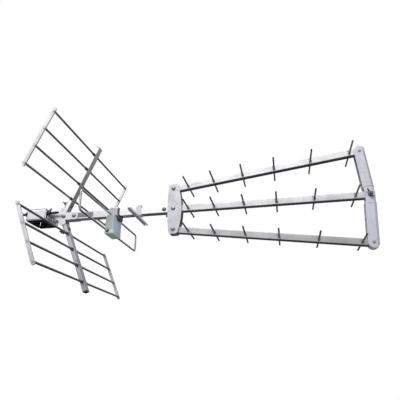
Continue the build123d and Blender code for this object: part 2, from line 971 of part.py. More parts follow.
def middle_boom():
    rear_x = apex + middle_boom_rear
    width = director_boom_width
    body = boom_holes(director_tube(0, middle_boom_front - middle_boom_rear), rear_x, 1)
    for station in (slip_bolt_station, bracket_bolt_station, front_bolt_station):
        body -= along_y(hole_radius, -width, width, station - middle_boom_rear, 0)
    return Pos(rear_x, 0, 0) * body


def outer_boom():
    pivot_x = apex + bracket_bolt_station
    cosine = math.cos(outer_boom_rad)
    rivet_at = (front_rivet_station - bracket_bolt_station) / cosine
    body = boom_holes(director_tube(-outer_boom_rear, rivet_at + outer_boom_overhang), pivot_x, cosine)
    for place, radius in ((0, hole_radius), (rivet_at, rivet_radius + hole_clearance)):
        body -= along_y(radius, -director_boom_width, director_boom_width, place, 0)
    return Pos(pivot_x, 0, outer_boom_offset) * Rot(0, -outer_boom_angle, 0) * body


def director(index, z):
    share = index / (len(director_stations) - 1)
    length = director_length_rear + share * (director_length_front - director_length_rear)
    x = apex + director_stations[index]
    body = along_y(director_radius, -length / 2, length / 2, x, z)
    for side in (-1, 1):
        start = side * (director_half + slide_clearance)
        low = min(start, start + side * director_collar_length)
        body += along_y(director_collar_radius, low, low + director_collar_length, x, z)
    return body


def outer_height(index):
    forward = director_stations[index] - bracket_bolt_station
    return outer_boom_offset + forward * math.tan(outer_boom_rad)


# Front bracket


def front_arm():
    # The upper arm: a channel round the outer boom's end, and two tongues
    # beside the middle boom. The lower arm is the same piece turned over.
    rise = outer_boom_offset + (front_rivet_station - bracket_bolt_station) * math.tan(outer_boom_rad)
    back = front_bolt_station - front_rivet_station
    length = math.hypot(rise, back)
    tilt = math.degrees(math.atan2(back, rise))
    inner_gap = director_boom_width + 2 * slide_clearance + front_arm_sheet + hole_clearance
    half = inner_gap / 2
    outer = half + front_arm_sheet
    wide = front_arm_width / 2
    profile = Rectangle(2 * wide, 2 * outer)
    profile = fillet(profile.vertices().group_by(Axis.X)[-1], front_arm_bend)
    hollow = Pos(-front_arm_sheet, 0) * Rectangle(2 * wide, 2 * half)
    hollow = fillet(hollow.vertices().group_by(Axis.X)[-1], front_arm_bend - front_arm_sheet)
    channel = extrude(
        Plane.XY.offset(-front_tongue_radius) * (profile - hollow),
        amount=length + wide + front_tongue_radius,
    )
    straight = Pos(0, (length + front_arm_web_start) / 2) * Rectangle(
        2 * wide, length - front_arm_web_start
    )
    cap = Pos(0, length) * Circle(wide)
    tongue = Pos(0, front_arm_web_start / 2) * Rectangle(2 * front_tongue_radius, front_arm_web_start)
    tip = Circle(front_tongue_radius)
    body = channel & slab(straight + cap + tongue + tip, -outer, outer)
    body -= block(-wide, wide, -half, half, -front_tongue_radius, front_arm_web_start)
    for side in (-outer, outer):
        body += along_x(front_arm_bead, 2 - wide, wide - front_arm_bend, side, front_arm_bead_height)
    body -= along_y(rivet_radius + hole_clearance, -outer, outer, 0, length)
    body -= along_y(hole_radius, -outer, outer, 0, 0)
    shift = (front_arm_sheet + hole_clearance) / 2
    return Pos(apex + front_bolt_station, shift, 0) * Rot(0, -tilt, 0) * body


def turned_over(shape):
    return Rot(180, 0, 0) * shape


def front_rivets():
    inner_gap = director_boom_width + 2 * slide_clearance + front_arm_sheet + hole_clearance
    outer = inner_gap / 2 + front_arm_sheet
    shift = (front_arm_sheet + hole_clearance) / 2
    rise = outer_boom_offset + (front_rivet_station - bracket_bolt_station) * math.tan(outer_boom_rad)
    upper = facing_near(apex + front_rivet_station, shift - outer, rise) * rivet(2 * outer)
    return [upper, turned_over(upper)]


def front_reach():
    inner_gap = director_boom_width + 2 * slide_clearance + front_arm_sheet + hole_clearance
    return inner_gap / 2 + front_arm_sheet + (front_arm_sheet + hole_clearance) / 2


def front_bolt():
    reach = front_reach()
    shank = 2 * reach + washer_thickness + wing_hub_height + wing_bolt_spare
    return facing_far(apex + front_bolt_station, reach, 0) * dome_bolt(shank)


def front_wing_nut():
    reach = front_reach()
    place = facing_near(apex + front_bolt_station, -reach, 0)
    nut = Pos(0, -washer_thickness, 0) * place * Rot(0, 0, 35) * wing_nut()
    return [place * washer(), nut]


def save(name, shape):
    if isinstance(shape, list):
        shape = Compound(children=shape)
    export_step(shape, f"parts/{name}.step")


def main():
    os.makedirs("parts", exist_ok=True)
    save("clamp_bracket", clamp_bracket())
    front_jaw = jaw()
    save("front_jaw", front_jaw)
    save("rear_jaw", Rot(0, 0, 180) * front_jaw)
    save("clamp_bolts", clamp_bolts())
    save("clamp_nuts", clamp_nuts())

    near_plate = hub_plate()
    save("hub_plate_near", near_plate)
    save("hub_plate_far", mirror(near_plate, about=Plane.XZ))
    save("cross_bolts", hub_bolts() + bracket_bolts())

    seat = arm_seat()
    arm = reflector_arm()
    cap = arm_cap()
    rods = reflector_rods()
    save("upper_seat", seat)
    save("lower_seat", mirrored(seat))
    save("upper_arm", arm)
    save("lower_arm", mirrored(arm))
    save("end_caps", [cap, mirrored(cap), boom_plug()])
    save("upper_rods", rods)
    save("lower_rods", [mirrored(rod) for rod in rods])
    bushes = rod_bushes()
    save("rod_bushes", bushes + [mirrored(bush) for bush in bushes])
    for side, name in ((-1, "near"), (1, "far")):
        bar = end_bar(side)
        save(f"upper_bar_{name}", bar)
        save(f"lower_bar_{name}", mirrored(bar))
    save("seat_bolts", seat_bolts())
    save("wing_nuts", clamp_wing_nuts() + seat_wing_nuts() + slip_wing_nut() + front_wing_nut())

    save("main_boom", main_boom())
    save("folded_dipole", folded_dipole())
    save("dipole_box", dipole_box())
    save("dipole_lid", dipole_lid())
    save("dipole_saddle", dipole_saddle())
    save("saddle_wedge", saddle_wedge())
    save("saddle_screws", saddle_screws())
    save("coax_socket", coax_socket())
    save("feed_terminals", feed_terminals())
    save("first_director", first_director())
    save("first_director_clip", first_director_clip())

    save("rear_bracket", rear_bracket())
    save("bracket_spacers", bracket_spacers())
    boom = outer_boom()
    save("middle_boom", middle_boom())
    save("upper_boom", boom)
    save("lower_boom", mirrored(boom))
    for index in range(len(director_stations)):
        height = outer_height(index)
        save(f"director_upper_{index + 1}", director(index, height))
        save(f"director_middle_{index + 1}", director(index, 0))
        save(f"director_lower_{index + 1}", director(index, -height))

    upper_front = front_arm()
    save("front_arm_upper", upper_front)
    save("front_arm_lower", turned_over(upper_front))
    save("rivets", front_rivets() + flange_rivets() + first_director_rivet())
    save("front_bolt", front_bolt())


main()
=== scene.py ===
import bpy
import bmesh
import math
from mathutils import Matrix, Vector


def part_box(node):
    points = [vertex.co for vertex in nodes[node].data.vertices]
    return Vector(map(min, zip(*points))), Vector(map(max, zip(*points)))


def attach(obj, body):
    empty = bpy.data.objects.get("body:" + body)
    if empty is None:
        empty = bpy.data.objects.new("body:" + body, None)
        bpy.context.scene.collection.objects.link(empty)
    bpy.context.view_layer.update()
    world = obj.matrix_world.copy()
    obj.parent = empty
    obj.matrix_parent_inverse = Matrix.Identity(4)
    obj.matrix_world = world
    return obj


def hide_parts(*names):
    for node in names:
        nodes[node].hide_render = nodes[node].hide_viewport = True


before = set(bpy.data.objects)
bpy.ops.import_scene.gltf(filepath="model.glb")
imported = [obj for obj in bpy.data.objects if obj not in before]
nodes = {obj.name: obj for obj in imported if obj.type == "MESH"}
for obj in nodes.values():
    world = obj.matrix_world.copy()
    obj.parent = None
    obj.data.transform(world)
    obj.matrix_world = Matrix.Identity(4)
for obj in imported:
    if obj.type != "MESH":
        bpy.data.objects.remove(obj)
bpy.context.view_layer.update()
mm = 0.001
print("aerial loaded,", len(nodes), "parts")

# Where things are: millimetres from the mast's axis, and degrees
apexX = 62.0
panelAngle = 67.2
outerBoomAngle = 7.44
near, far = -1, 1  # the sides of the aerial, along y
smoothAngle = 32.0  # flatter edges than this look round
hair = 0.1  # places closer together than this count as one
square = 0.99  # a face looks along an axis if its normal has more than this of it


# Shader nodes


class Wire:  # one socket, so that shader sums can be written as sums
    def __init__(self, finish, socket):
        self.finish = finish
        self.socket = socket

    def maths(self, operation, first, second):
        return self.finish.node("ShaderNodeMath", {"operation": operation}, {0: first, 1: second})

    def __add__(self, other):
        return self.maths("ADD", self, other)

    def __radd__(self, other):
        return self.maths("ADD", other, self)

    def __mul__(self, other):
        return self.maths("MULTIPLY", self, other)

    def __rmul__(self, other):
        return self.maths("MULTIPLY", other, self)


class Finish:  # the nodes of one material, or of the sky
    def __init__(self, owner):
        self.owner = owner
        owner.use_nodes = True
        self.tree = owner.node_tree
        self.tree.nodes.clear()

    def node(self, kind, settings, sockets, output=0):
        made = self.tree.nodes.new(kind)
        for key, value in settings.items():
            if key == "stops":
                self.setStops(made.color_ramp.elements, value)
            else:
                setattr(made, key, value)
        for key, value in sockets.items():
            if isinstance(value, Wire):
                self.tree.links.new(value.socket, made.inputs[key])
            else:
                made.inputs[key].default_value = value
        return Wire(self, made.outputs[output]) if made.outputs else None

    def setStops(self, marks, stops):
        marks[0].position = stops[0][0]
        marks[1].position = stops[-1][0]
        for place, _ in stops[1:-1]:
            marks.new(place)
        for mark, (_, colour) in zip(marks, stops):
            mark.color = (*colour, 1.0)

    def place(self, turn=(0, 0, 0), stretch=(1.0, 1.0, 1.0)):  # object coordinates, turned and stretched
        where = self.node("ShaderNodeTexCoord", {}, {}, "Object")
        angles = [math.radians(angle) for angle in turn]
        sockets = {"Vector": where, "Rotation": angles}
        around = self.node("ShaderNodeMapping", {"vector_type": "TEXTURE"}, sockets)
        return self.node("ShaderNodeMapping", {}, {"Vector": around, "Scale": stretch})

    def axis(self, where, index):  # one number of a place: 0 along, 1 across, 2 up
        return self.node("ShaderNodeSeparateXYZ", {}, {0: where}, index)

    def reach(self, value):  # how far from zero, to either side
        return self.node("ShaderNodeMath", {"operation": "ABSOLUTE"}, {0: value})

    def noise(self, where, scale, detail, rough):
        sockets = {"Vector": where, "Scale": scale, "Detail": detail, "Roughness": rough}
        return self.node("ShaderNodeTexNoise", {}, sockets)

    def blend(self, share, first, second):  # sockets 6 and 7 are the two colours
        first, second = [(*end, 1.0) if isinstance(end, tuple) else end for end in (first, second)]
        return self.node("ShaderNodeMix", {"data_type": "RGBA"}, {0: share, 6: first, 7: second}, 2)

    def between(self, value, low, high):  # 0 at low, 1 at high, and no more outside them
        sockets = {"Value": value, "From Min": low, "From Max": high}
        return self.node("ShaderNodeMapRange", {"clamp": True}, sockets)

    def bump(self, height, depth, strength):
        return self.node("ShaderNodeBump", {}, {"Strength": strength, "Distance": depth, "Height": height})

    def coat(self, colour, metallic, roughness, normal):
        sockets = {"Base Color": colour, "Metallic": metallic, "Roughness": roughness, "Normal": normal}
        return self.close(self.node("ShaderNodeBsdfPrincipled", {}, sockets))

    def close(self, surface):
        self.node("ShaderNodeOutputMaterial", {}, {"Surface": surface})
        return self.owner


# Modelling, in millimetres


def selectOnly(*pieces):
    bpy.ops.object.select_all(action="DESELECT")
    for piece in pieces:
        piece.select_set(True)
    if pieces:
        bpy.context.view_layer.objects.active = pieces[0]


def startPiece(name, primitive, **settings):  # a primitive, with its place in its mesh
    selectOnly()
    primitive(**settings)
    bpy.ops.object.transform_apply(location=True, rotation=True, scale=True)
    piece = bpy.context.object
    piece.name = name
    return piece


def startCylinder(name, radius, height, sides=48, foot=0.0):  # upright, with its foot at that level
    return startPiece(
        name,
        bpy.ops.mesh.primitive_cylinder_add,
        vertices=sides,
        radius=radius * mm,
        depth=height * mm,
        location=(0, 0, (foot + height / 2) * mm),
    )


def startBlock(name, low, high):  # between two corners
    return startPiece(
        name,
        bpy.ops.mesh.primitive_cube_add,
        size=mm,
        location=[(start + end) / 2 * mm for start, end in zip(low, high)],
        scale=[end - start for start, end in zip(low, high)],
    )


def corners(node):  # the lowest and highest corners of a part
    return [[part / mm for part in corner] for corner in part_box(node)]


def startEdit(piece):
    selectOnly(piece)
    bpy.ops.object.mode_set(mode="EDIT")
    bpy.ops.mesh.select_mode(type="FACE")
    bpy.ops.mesh.select_all(action="DESELECT")


def endEdit():
    bpy.ops.object.mode_set(mode="OBJECT")


def startPick(piece, kind):
    bpy.ops.mesh.select_mode(type=kind)
    bpy.ops.mesh.select_all(action="DESELECT")
    return bmesh.from_edit_mesh(piece.data)


def pickFaces(piece, test):  # test gets a face's middle and normal
    shape = startPick(piece, "FACE")
    shape.normal_update()
    for face in shape.faces:
        face.select_set(test(face.calc_center_median() / mm, face.normal))
    bmesh.update_edit_mesh(piece.data)


def pickEdges(piece, test):  # test gets an edge's two ends
    shape = startPick(piece, "EDGE")
    for edge in shape.edges:
        edge.select_set(test(edge.verts[0].co / mm, edge.verts[1].co / mm))
    bmesh.update_edit_mesh(piece.data)


def onTop(middle, normal):
    return normal.z > square


def atEnds(middle, normal):
    return abs(normal.z) > square


def runsAlong(index):  # a test for edges that run along x, y or z: 0, 1 or 2
    return lambda start, end: abs(start[index] - end[index]) > hair


def extrude(x, y, z):
    bpy.ops.mesh.extrude_region_move(TRANSFORM_OT_translate={"value": (x * mm, y * mm, z * mm)})


def inset(width):
    bpy.ops.mesh.inset(thickness=width * mm)


def resize(x, y, z, middle):
    bpy.ops.transform.resize(value=(x, y, z), center_override=[part * mm for part in middle])


def bevel(width, segments):
    bpy.ops.mesh.bevel(offset=width * mm, segments=segments, affect="EDGES")


def makeBore(piece, radius, outside):  # through the middle, between its two flat ends
    pickFaces(piece, lambda middle, normal: atEnds(middle, normal) and middle.xy.length < hair)
    inset(outside - radius)
    bpy.ops.mesh.bridge_edge_loops()


def addModifier(piece, kind, **settings):
    selectOnly(piece)
    modifier = piece.modifiers.new(kind.lower(), kind)
    for key, value in settings.items():
        setattr(modifier, key, value)
    bpy.ops.object.modifier_apply(modifier=modifier.name)


def softenEdges(piece, width, segments=2, angle=smoothAngle):
    addModifier(
        piece,
        "BEVEL",
        width=width * mm,
        segments=segments,
        limit_method="ANGLE",
        angle_limit=math.radians(angle),
    )


def joinPieces(first, *others):
    selectOnly(first, *others)
    bpy.ops.object.join()
    return first


def recoat(piece, finish):
    piece.data.materials.clear()
    piece.data.materials.append(finish)
    return piece


def settle(piece, finish):
    selectOnly(piece)
    bpy.ops.object.shade_smooth_by_angle(angle=math.radians(smoothAngle))
    return recoat(piece, finish)


def hand(piece, body, slot, *replaced):
    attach(piece, body)
    if replaced:
        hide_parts(*replaced)


def copyTo(model, name, matrix):
    piece = model.copy()
    piece.data = model.data.copy()
    piece.name = name
    piece.data.transform(matrix)
    bpy.context.scene.collection.objects.link(piece)
    return piece


def at(x, y, z):
    return Matrix.Translation((x * mm, y * mm, z * mm))


def turned(angle, axis):
    return Matrix.Rotation(math.radians(angle), 4, axis)


def facing(side, x, outside, z):  # a place on the near or far side, looking outwards
    return at(x, side * outside, z) @ turned(-90 * side, "X")


def onPanel(side, along, height):  # a place on the upper or lower reflector panel, height behind its rods
    lean = math.radians(panelAngle)
    forward = Vector((math.cos(lean), 0, side * math.sin(lean)))
    behind = Vector((-math.sin(lean), 0, side * math.cos(lean)))
    across = behind.cross(forward)
    turn = Matrix((forward, across, behind)).transposed().to_4x4()
    return at(apexX, 0, 0) @ turn @ at(along, 0, height)


# View, sky, lights and stage

viewSettings = {
    "place": (0.5952, -0.9370, -0.3575),
    "turn": 10.89,
    "lift": 21.61,
    "roll": -0.30,
    "lens": 38.12,
    "sensor": 36.0,
    "nearest": 0.01,
    "farthest": 60.0,
}


def makeCamera():
    data = bpy.data.cameras.new("camera")
    data.sensor_width = viewSettings["sensor"]
    data.lens = viewSettings["lens"]
    data.clip_start = viewSettings["nearest"]
    data.clip_end = viewSettings["farthest"]
    camera = bpy.data.objects.new("camera", data)
    bpy.context.scene.collection.objects.link(camera)
    aim = turned(viewSettings["turn"], "Z")
    aim = aim @ turned(90 + viewSettings["lift"], "X")
    aim = aim @ turned(viewSettings["roll"], "Z")
    camera.matrix_world = Matrix.Translation(viewSettings["place"]) @ aim
    bpy.context.scene.camera = camera


skySettings = {
    "axis": (-0.16, -0.58, 0.795),  # where the brightest part of the sky is
    "stops": [  # from the side away from that part, 0, to that part, 1
        (0.00, (0.020, 0.020, 0.021)),
        (0.17, (0.045, 0.045, 0.045)),
        (0.24, (0.27, 0.26, 0.24)),
        (0.40, (0.43, 0.45, 0.50)),
        (0.52, (0.32, 0.33, 0.36)),
        (0.65, (0.16, 0.16, 0.17)),
        (0.835, (0.14, 0.14, 0.15)),
        (0.87, (0.64, 0.64, 0.66)),
        (0.90, (1.04, 1.04, 1.06)),
        (0.93, (1.15, 1.15, 1.18)),
        (1.00, (1.35, 1.33, 1.37)),
    ],
}


def makeSky():
    world = bpy.data.worlds.new("studio")
    bpy.context.scene.world = world
    sky = Finish(world)
    where = sky.node("ShaderNodeTexCoord", {}, {}, "Generated")
    axis = Vector(skySettings["axis"]).normalized()
    product = {"operation": "DOT_PRODUCT"}
    towards = sky.node("ShaderNodeVectorMath", product, {0: where, 1: axis}, "Value")
    raised = sky.between(towards, -1.0, 1.0)
    colour = sky.node("ShaderNodeValToRGB", {"stops": skySettings["stops"]}, {"Fac": raised}, "Color")
    back = sky.node("ShaderNodeBackground", {}, {"Color": colour})
    sky.node("ShaderNodeOutputWorld", {}, {"Surface": back})


lightSettings = {
    "keyLight": {
        "place": (0.2, -1.9, 2.3),
        "target": (0.3, 0, 0),
        "power": 14.0,
        "size": 1.2,
        "seen": True,  # by the camera and in reflections
    },
    "fillLight": {  # it lifts the plastics and stays out of the metals' reflections
        "place": (2.1, -1.5, -0.75),
        "target": (0.2, 0, 0),
        "power": 16.0,
        "size": 1.0,
        "seen": False,
    },
}


def makeLight(name, settings):
    data = bpy.data.lights.new(name, "AREA")
    data.energy = settings["power"]
    data.size = settings["size"]
    light = bpy.data.objects.new(name, data)
    light.location = settings["place"]
    away = Vector(settings["target"]) - light.location
    light.rotation_euler = away.to_track_quat("-Z", "Y").to_euler()
    light.visible_glossy = settings["seen"]
    light.visible_camera = settings["seen"]
    bpy.context.scene.collection.objects.link(light)


white = (1.0, 1.0, 1.0, 1.0)
floorSettings = {
    "middle": (0.35, 0.0, -0.95),
    "radius": 3.2,
    "colour": (0.90, 0.90, 0.90, 1.0),
    "roughness": 0.9,
    "glow": 0.35,
}
domeSettings = {"radius": 14.0, "glow": 1.0}


def putOnStage(piece, material):  # the camera sees it, and it casts nothing on the aerial
    piece.data.materials.append(material)
    piece.visible_diffuse = False
    piece.visible_glossy = False
    piece.visible_transmission = False
    piece.visible_shadow = False


def makeFloor():
    floor = startPiece(
        "studioFloor",
        bpy.ops.mesh.primitive_circle_add,
        vertices=96,
        radius=floorSettings["radius"],
        fill_type="NGON",
        location=floorSettings["middle"],
    )
    paint = Finish(bpy.data.materials.new("paleFloor"))
    sockets = {
        "Base Color": floorSettings["colour"],
        "Roughness": floorSettings["roughness"],
        "Emission Color": white,
        "Emission Strength": floorSettings["glow"],
    }
    putOnStage(floor, paint.close(paint.node("ShaderNodeBsdfPrincipled", {}, sockets)))


def makeDome():
    dome = startPiece(
        "studioDome",
        bpy.ops.mesh.primitive_uv_sphere_add,
        segments=64,
        ring_count=32,
        radius=domeSettings["radius"],
    )
    backdrop = Finish(bpy.data.materials.new("whiteBackdrop"))
    sockets = {"Color": white, "Strength": domeSettings["glow"]}
    putOnStage(dome, backdrop.close(backdrop.node("ShaderNodeEmission", {}, sockets)))


makeCamera()
makeSky()
for name, settings in lightSettings.items():
    makeLight(name, settings)
makeFloor()
makeDome()
bpy.context.scene.view_settings.view_transform = "Standard"
print("view, light and floor made")


# Finishes


def newFinish(name):
    return Finish(bpy.data.materials.new(name))


def shaded(look, share):  # the same finish in lighter or darker colours
    changed = dict(look)
    for key, value in look.items():
        if isinstance(value, tuple):
            changed[key] = tuple(min(1.0, part * share) for part in value)
    return changed


drawnPattern = {  # each noise is given as its scale, detail and roughness
    "stretch": (2.2, 420.0, 420.0),  # the marks of drawing, long along the piece and tight across it
    "lines": (1.0, 2.0, 0.5),
    "clouds": (22.0, 4.0, 0.6),
    "specks": (310.0, 2.0, 0.7),
    "cloudShare": 0.7,
    "dullRange": (0.42, 0.66),
    "speckRange": (0.66, 0.78),
    "speckStain": 0.45,
    "dullRoughness": 0.14,
    "speckRoughness": 0.2,
    "lineRelief": 0.6,
    "cloudRelief": 0.1,
    "speckRelief": 0.3,
    "depth": 0.00012,
    "strength": 0.55,
}
drawnLook = {
    "light": (0.86, 0.86, 0.88),
    "dull": (0.62, 0.63, 0.66),
    "stain": (0.40, 0.41, 0.43),
    "roughness": 0.30,
}
# A lighter copy of drawnLook: painted light for the parts that show brightest, the main boom and the upper
# arm
litDrawnLook = {
    "light": (0.99, 0.99, 1.00),
    "dull": (0.95, 0.95, 0.97),
    "stain": (0.60, 0.60, 0.62),
    "roughness": 0.26,
}
rodLook = {
    "light": (0.46, 0.47, 0.47),
    "dull": (0.30, 0.31, 0.31),
    "stain": (0.20, 0.21, 0.21),
    "roughness": 0.36,
}
sawnEnds = {"from": 62.85, "tone": (0.10, 0.10, 0.105)}
hammeredEnds = {"from": 222.3, "tone": (0.74, 0.74, 0.76)}


def makeDrawnAluminium(name, turn, look, ends=None):
    finish, pattern = newFinish(name), drawnPattern
    flat = finish.place(turn)
    lines = finish.noise(finish.place(turn, pattern["stretch"]), *pattern["lines"])
    cloud = finish.noise(flat, *pattern["clouds"])
    specks = finish.between(finish.noise(flat, *pattern["specks"]), *pattern["speckRange"])
    weather = cloud * pattern["cloudShare"] + lines * (1 - pattern["cloudShare"])
    dull = finish.between(weather, *pattern["dullRange"])
    colour = finish.blend(dull, look["light"], look["dull"])
    colour = finish.blend(specks * pattern["speckStain"], colour, look["stain"])
    if ends:  # hammered or sawn ends, from so far out, in a tone of their own
        across = finish.reach(finish.axis(finish.place(), 1))
        atEnd = finish.between(across, ends["from"] * mm, (ends["from"] + hair) * mm)
        colour = finish.blend(atEnd, colour, ends["tone"])
    roughness = look["roughness"] + dull * pattern["dullRoughness"] + specks * pattern["speckRoughness"]
    relief = lines * pattern["lineRelief"] + cloud * pattern["cloudRelief"]
    relief = relief + specks * pattern["speckRelief"]
    normal = finish.bump(relief, pattern["depth"], pattern["strength"])
    return finish.coat(colour, look.get("metal", 1.0), roughness, normal)


alongX, acrossX = (0, 0, 0), (0, 0, 90)
boomRising, boomFalling = (0, -outerBoomAngle, 0), (0, outerBoomAngle, 0)
panelRising, panelFalling = (0, -panelAngle, 0), (0, panelAngle, 0)
# Lighter and darker copies of one drawn aluminium, part by part: painted light and shade for how the light
# falls on each part
mainTube = makeDrawnAluminium("drawnMainTube", alongX, litDrawnLook)
tubeAlong = makeDrawnAluminium("drawnTube", alongX, shaded(drawnLook, 0.95))
tubeRising = makeDrawnAluminium("drawnTubeRising", boomRising, shaded(drawnLook, 0.95))
tubeFalling = makeDrawnAluminium("drawnTubeFalling", boomFalling, shaded(drawnLook, 0.78))
armRising = makeDrawnAluminium("drawnArmRising", panelRising, litDrawnLook)
armFalling = makeDrawnAluminium("drawnArmFalling", panelFalling, shaded(drawnLook, 0.80))
barRising = makeDrawnAluminium("drawnBarRising", panelRising, shaded(drawnLook, 0.92))
barFalling = makeDrawnAluminium("drawnBarFalling", panelFalling, shaded(drawnLook, 1.18))
directorRod = makeDrawnAluminium("drawnRod", acrossX, rodLook, sawnEnds)
reflectorRod = makeDrawnAluminium("reflectorRod", acrossX, rodLook, hammeredEnds)
dipoleTube = makeDrawnAluminium("dipoleTube", acrossX, shaded(rodLook, 2.1))
stripAcross = makeDrawnAluminium("stripAcross", acrossX, {**drawnLook, "metal": 0.1})
# The crimps: a darker copy of the boom's aluminium, painted shade in the pressings
shadedPressing = makeDrawnAluminium("shadedPressing", alongX, shaded(drawnLook, 0.62))


zincPattern = {
    "clouds": (35.0, 4.0, 0.6),
    "grit": (900.0, 2.0, 0.6),
    "spots": (140.0, 3.0, 0.7),
    "spangleShare": 0.14,
    "darkRange": (0.30, 0.70),
    "spotRange": (0.64, 0.80),
    "spotStain": 0.5,
    "darkRoughness": 0.10,
    "spotRoughness": 0.15,
    "gritRelief": 0.4,
    "spangleRelief": 0.15,
    "cloudRelief": 0.3,
    "depth": 0.00010,
    "strength": 0.5,
}
zincLook = {
    "light": (0.84, 0.84, 0.88),
    "dark": (0.66, 0.67, 0.72),
    "stain": (0.48, 0.49, 0.50),
    "roughness": 0.34,
    "grain": 75.0,
}
# A lighter copy of the zinc sheet: painted light for the hub plates and the clamp bracket, whose near
# faces show nearly white
litZincLook = {
    "light": (0.99, 0.99, 1.00),
    "dark": (0.92, 0.92, 0.95),
    "stain": (0.66, 0.66, 0.68),
    "roughness": 0.32,
    "grain": 75.0,
}
# A lighter, bluer copy of the zinc sheet: painted light for the lower front arm
frontZincLook = {
    "light": (0.88, 0.89, 0.99),
    "dark": (0.82, 0.83, 0.95),
    "stain": (0.62, 0.62, 0.68),
    "roughness": 0.32,
    "grain": 75.0,
    "metal": 0.6,
}
# Nearly black: painted shade for the jaws, deep in the clamp's hollow
jawShadeLook = {
    "light": (0.13, 0.13, 0.135),
    "dark": (0.07, 0.07, 0.075),
    "stain": (0.16, 0.15, 0.14),
    "roughness": 0.46,
    "grain": 75.0,
}
greyPlateLook = {
    "light": (0.42, 0.42, 0.43),
    "dark": (0.30, 0.30, 0.31),
    "stain": (0.22, 0.22, 0.22),
    "roughness": 0.42,
    "grain": 40.0,
}
# Painted shade: a near-black colour inside the clamp's pressing and along its lower edges, standing in for
# the deep shade there
clampPaintedShade = {
    "colour": (0.03, 0.03, 0.032),
    "skin": 1.0,  # how far inside the clamp's outer faces it begins
    "foot": 3.4,  # how high it climbs from the lower edge
    "footBlur": 1.2,
    "blur": 0.3,
}


def paintedShadeMask(finish, flat, node):  # painted shade mask: 1 inside the pressing and along its lower edges, where the shade is deepest
    low, high = corners(node)
    front, side, top = [(part - clampPaintedShade["skin"]) * mm for part in high]
    foot = (low[2] + clampPaintedShade["foot"]) * mm
    blur = clampPaintedShade["blur"] * mm
    inside = finish.between(finish.axis(flat, 0), front, front - blur)
    inside = inside * finish.between(finish.reach(finish.axis(flat, 1)), side, side - blur)
    inside = inside * finish.between(finish.axis(flat, 2), top, top - blur)
    lower = finish.between(finish.axis(flat, 2), foot, foot - clampPaintedShade["footBlur"] * mm)
    return finish.between(inside + lower, 0.0, 1.0)


def makeZincSheet(name, look, paintedShadeNode=None):
    finish, pattern = newFinish(name), zincPattern
    flat = finish.place()
    cloud = finish.noise(flat, *pattern["clouds"])
    sockets = {"Vector": flat, "Scale": look["grain"], "Randomness": 1.0}
    cells = finish.node("ShaderNodeTexVoronoi", {}, sockets, "Color")
    spangle = finish.node("ShaderNodeSeparateColor", {}, {0: cells})
    tone = spangle * pattern["spangleShare"] + cloud * (1 - pattern["spangleShare"])
    dark = finish.between(tone, *pattern["darkRange"])
    colour = finish.blend(dark, look["light"], look["dark"])
    # painted shade, blended over the zinc inside the clamp and along its lower edges
    if paintedShadeNode:
        colour = finish.blend(paintedShadeMask(finish, flat, paintedShadeNode), colour, clampPaintedShade["colour"])
    spots = finish.between(finish.noise(flat, *pattern["spots"]), *pattern["spotRange"])
    colour = finish.blend(spots * pattern["spotStain"], colour, look["stain"])
    roughness = look["roughness"] + dark * pattern["darkRoughness"] + spots * pattern["spotRoughness"]
    relief = finish.noise(flat, *pattern["grit"]) * pattern["gritRelief"]
    relief = relief + spangle * pattern["spangleRelief"] + cloud * pattern["cloudRelief"]
    normal = finish.bump(relief, pattern["depth"], pattern["strength"])
    return finish.coat(colour, look.get("metal", 1.0), roughness, normal)


zincSheet = makeZincSheet("zincSheet", zincLook)
brightZinc = makeZincSheet("brightZinc", {**shaded(zincLook, 0.99), "metal": 0.6})
litZinc = makeZincSheet("litZinc", litZincLook)
paleZinc = makeZincSheet("paleZinc", shaded(frontZincLook, 0.92))
# A darker copy of the zinc sheet: painted shade for the rear bracket
bracketZinc = makeZincSheet("bracketZinc", shaded(zincLook, 0.90))
# the clamp bracket: the lighter zinc copy, with painted shade inside and along its lower edges
clampZinc = makeZincSheet("clampZinc", litZincLook, "clamp_bracket")
jawShadeSteel = makeZincSheet("jawShadeSteel", jawShadeLook)
# A darker copy of the zinc sheet: painted shade for the saddle under the boom
saddleZinc = makeZincSheet("saddleZinc", shaded(zincLook, 0.80))
greyPlate = makeZincSheet("greyPlate", greyPlateLook)


fastenerPattern = {
    "clouds": (160.0, 4.0, 0.6),
    "grit": (1400.0, 2.0, 0.5),
    "darkRange": (0.38, 0.68),
    "darkRoughness": 0.16,
    "gritRelief": 0.5,
    "cloudRelief": 0.5,
    "depth": 0.00008,
    "strength": 0.6,
}
fastenerLook = {
    "light": (0.34, 0.34, 0.35),
    "dark": (0.19, 0.19, 0.20),
    "roughness": 0.34,
}
brassLook = {
    "light": (0.78, 0.62, 0.30),
    "dark": (0.50, 0.38, 0.18),
    "roughness": 0.32,
}


def makeFastenerMetal(name, look):
    finish, pattern = newFinish(name), fastenerPattern
    flat = finish.place()
    cloud = finish.noise(flat, *pattern["clouds"])
    grit = finish.noise(flat, *pattern["grit"])
    dark = finish.between(cloud, *pattern["darkRange"])
    colour = finish.blend(dark, look["light"], look["dark"])
    roughness = look["roughness"] + dark * pattern["darkRoughness"]
    relief = grit * pattern["gritRelief"] + cloud * pattern["cloudRelief"]
    normal = finish.bump(relief, pattern["depth"], pattern["strength"])
    return finish.coat(colour, 1.0, roughness, normal)


zincFastener = makeFastenerMetal("zincFastener", fastenerLook)
# Lighter and darker copies of the fastener metal: painted light for the rivets and the through bolts,
# painted shade for the clamp's bolts, nuts and wing nuts
litFastener = makeFastenerMetal("litFastener", shaded(fastenerLook, 1.65))
shadedFastener = makeFastenerMetal("shadedFastener", shaded(fastenerLook, 0.35))
brass = makeFastenerMetal("terminalBrass", brassLook)


